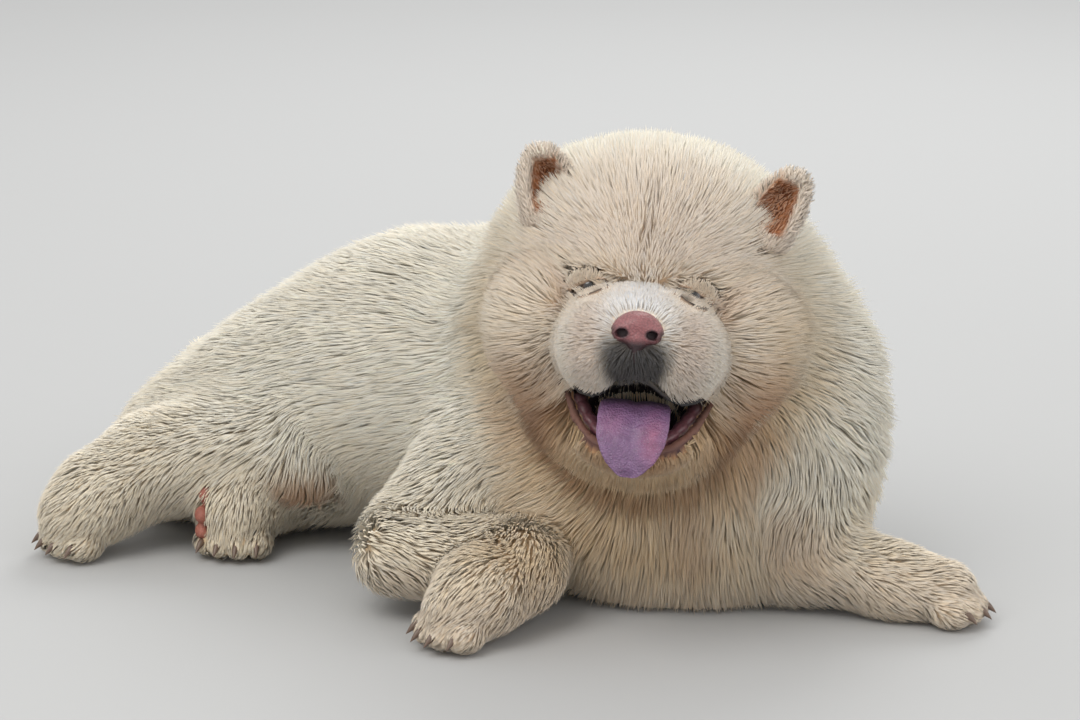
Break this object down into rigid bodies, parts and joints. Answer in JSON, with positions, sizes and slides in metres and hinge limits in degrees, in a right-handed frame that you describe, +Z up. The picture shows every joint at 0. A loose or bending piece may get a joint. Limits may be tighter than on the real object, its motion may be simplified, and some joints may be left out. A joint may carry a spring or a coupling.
{
  "type": "lying chow chow",
  "caption": "A still, life-size chow chow that lies on its chest and one hip with its head up, its mouth open and its tongue out.",
  "frame": {"origin": "on the floor, under the middle of the object's box", "axes": "+Z is up; +X runs from the outstretched hind feet to the outstretched left forepaw, the object's longest direction; -Y is the way the face looks, and the tail is at the +Y side"},
  "size_m": [0.7542, 0.5926, 0.3689],
  "materials": {
    "coat": "long, dense, soft cream fur",
    "face": "short, soft, warm cream fur",
    "ear": "thick short fur, red-brown inside",
    "eye": "wet dark brown",
    "nose": "damp, finely pebbled",
    "tongue": "wet, blue-violet"
  },
  "bodies": {
    "root": {"torso": "coat", "mane": "coat", "tail_base": "coat", "tail_tip": "coat", "head": "face", "lower_jaw": "face", "ear_left": "ear", "ear_right": "ear", "eye_left": "eye", "eye_right": "eye", "nose": "nose", "tongue": "tongue", "foreleg_left_upper": "coat", "foreleg_left_lower": "coat", "forepaw_left": "coat", "foreleg_right_upper": "coat", "foreleg_right_lower": "coat", "forepaw_right": "coat", "hindleg_left_shank": "coat", "hindpaw_left": "coat", "hindleg_right_thigh": "coat", "hindleg_right_shank": "coat", "hindpaw_right": "coat"}
  },
  "joints": []
}
